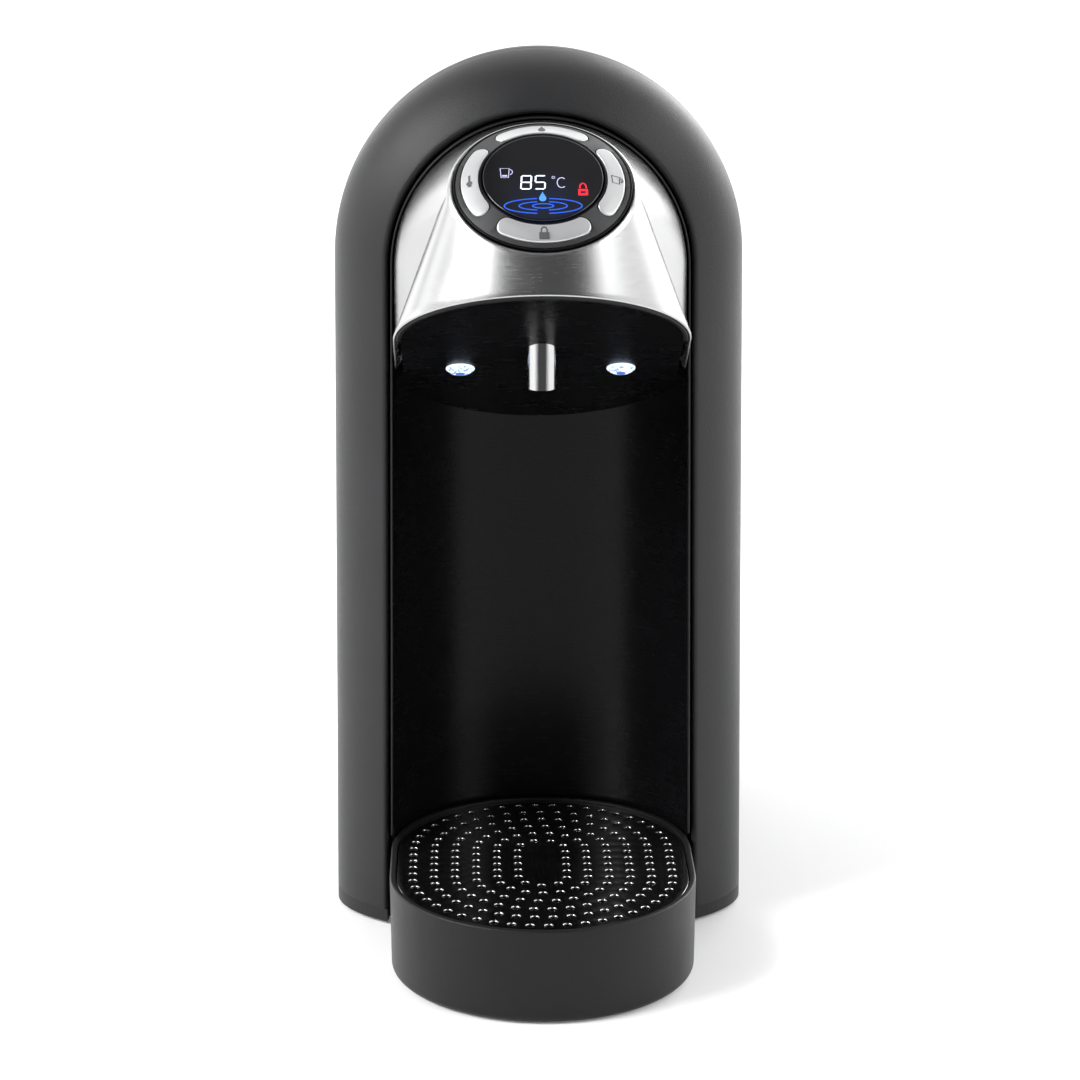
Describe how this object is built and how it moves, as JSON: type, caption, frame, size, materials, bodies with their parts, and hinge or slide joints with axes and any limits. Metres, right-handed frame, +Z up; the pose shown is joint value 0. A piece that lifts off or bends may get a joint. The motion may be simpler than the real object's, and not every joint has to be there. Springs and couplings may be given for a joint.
{
  "type": "countertop water dispenser",
  "caption": "Free-standing hot water dispenser: arched shell, steel head with a round key panel and nozzle, drip tray with a steel grille, lift-off rear tank.",
  "frame": {"origin": "on the surface it stands on, under the middle of the whole outline", "axes": "+Z up, +Y towards the back, +X to the right of someone facing the front"},
  "size_m": [0.1606, 0.29, 0.3385],
  "materials": {
    "shell_charcoal": "soft-touch matte, fine grain",
    "pan_black": "moulded matte",
    "tray_charcoal": "soft-touch matte, fine grain",
    "black_gloss": "glossy",
    "rim_grey": "satin",
    "brushed_steel": "brushed",
    "polished_steel": "polished",
    "ring_grey": "satin",
    "key_silver": "metallic silver",
    "display_glass": "flat black glass",
    "light_lens": "clear, lit from behind",
    "rubber_black": "matte rubber",
    "silicone_clear": "translucent silicone",
    "silicone_red": "silicone",
    "plastic_natural": "natural moulding",
    "plastic_dark": "glass-filled moulding",
    "board_green": "solder mask",
    "component_dark": "potted components",
    "zinc_steel": "zinc plated",
    "heater_alloy": "as cast",
    "brass": "machined",
    "lead_black": "cable sheath",
    "lead_red": "cable sheath",
    "lead_yellow": "heat-proof sleeve",
    "tank_smoke": "smoke-grey transparent"
  },
  "bodies": {
    "machine": {"front_shell": "shell_charcoal", "main_housing": "shell_charcoal", "cavity_liner": "black_gloss", "cavity_bezel": "black_gloss", "base_pan": "pan_black", "rubber_feet": "rubber_black", "base_screws": "zinc_steel", "cord_inlet": "rubber_black", "head_cover": "brushed_steel", "underside_panel": "black_gloss", "underside_rim": "rim_grey", "nozzle_sleeve": "brushed_steel", "spout_tube": "silicone_clear", "light_lenses": "light_lens", "light_boards": "board_green", "control_ring": "ring_grey", "display_lens": "display_glass", "display_module": "component_dark", "control_board": "board_green", "panel_switches": "component_dark", "heater_tube": "polished_steel", "heater_caps": "heater_alloy", "heater_bracket": "zinc_steel", "thermal_fuse": "plastic_natural", "outlet_sensor": "brass", "steam_separator": "plastic_natural", "pump_head": "plastic_dark", "pump_motor": "heater_alloy", "pump_cradle": "rubber_black", "suction_hose": "silicone_clear", "pressure_hose": "silicone_clear", "outlet_hose": "silicone_clear", "power_board": "board_green", "power_components": "component_dark", "board_standoffs": "plastic_natural", "control_lead": "lead_red", "mains_lead": "lead_black", "heater_lead": "lead_yellow", "dock_socket": "plastic_dark", "dock_seal": "silicone_red", "tank_switch": "plastic_natural"},
    "tray": {"drip_tray": "tray_charcoal"},
    "grille": {"drip_grille": "polished_steel"},
    "tank": {"water_tank": "tank_smoke", "lid_hinge_pin": "zinc_steel", "valve_guide": "plastic_natural", "valve_spring": "zinc_steel", "outlet_strainer": "plastic_natural"},
    "lid": {"tank_lid": "shell_charcoal"},
    "valve": {"tank_valve": "plastic_natural"},
    "impeller": {"pump_rotor": "plastic_natural"},
    "dispense_key": {"button_dispense": "key_silver"},
    "temperature_key": {"button_temperature": "key_silver"},
    "volume_key": {"button_volume": "key_silver"},
    "lock_key": {"button_lock": "key_silver"}
  },
  "joints": [
    {"name": "tray_pull", "type": "slide", "parent": "machine", "child": "tray", "axis": [0, -1, 0], "range_m": [0, 0.12]},
    {"name": "grille_lift", "type": "slide", "parent": "tray", "child": "grille", "axis": [0, 0, 1], "range_m": [0, 0.1]},
    {"name": "tank_lift", "type": "slide", "parent": "machine", "child": "tank", "axis": [0, 0, 1], "range_m": [0, 0.33]},
    {"name": "lid_hinge", "type": "hinge", "parent": "tank", "child": "lid", "pos_m": [0, 0.143, 0.2862], "axis": [-1, 0, 0], "range_deg": [0, 95]},
    {"name": "valve_lift", "type": "slide", "parent": "tank", "child": "valve", "axis": [0, 0, 1], "range_m": [0, 0.002], "stiffness_N_per_m": 150, "deforming": ["valve_spring"]},
    {"name": "impeller_spin", "type": "hinge", "parent": "machine", "child": "impeller", "pos_m": [0.046, 0.014, 0.04], "axis": [0, 0, 1], "continuous": true},
    {"name": "dispense_press", "type": "slide", "parent": "machine", "child": "dispense_key", "axis": [0, 0.5878, -0.809], "range_m": [0, 0.0008], "stiffness_N_per_m": 500},
    {"name": "temperature_press", "type": "slide", "parent": "machine", "child": "temperature_key", "axis": [0, 0.5878, -0.809], "range_m": [0, 0.0008], "stiffness_N_per_m": 500},
    {"name": "volume_press", "type": "slide", "parent": "machine", "child": "volume_key", "axis": [0, 0.5878, -0.809], "range_m": [0, 0.0008], "stiffness_N_per_m": 500},
    {"name": "lock_press", "type": "slide", "parent": "machine", "child": "lock_key", "axis": [0, 0.5878, -0.809], "range_m": [0, 0.0008], "stiffness_N_per_m": 500}
  ]
}
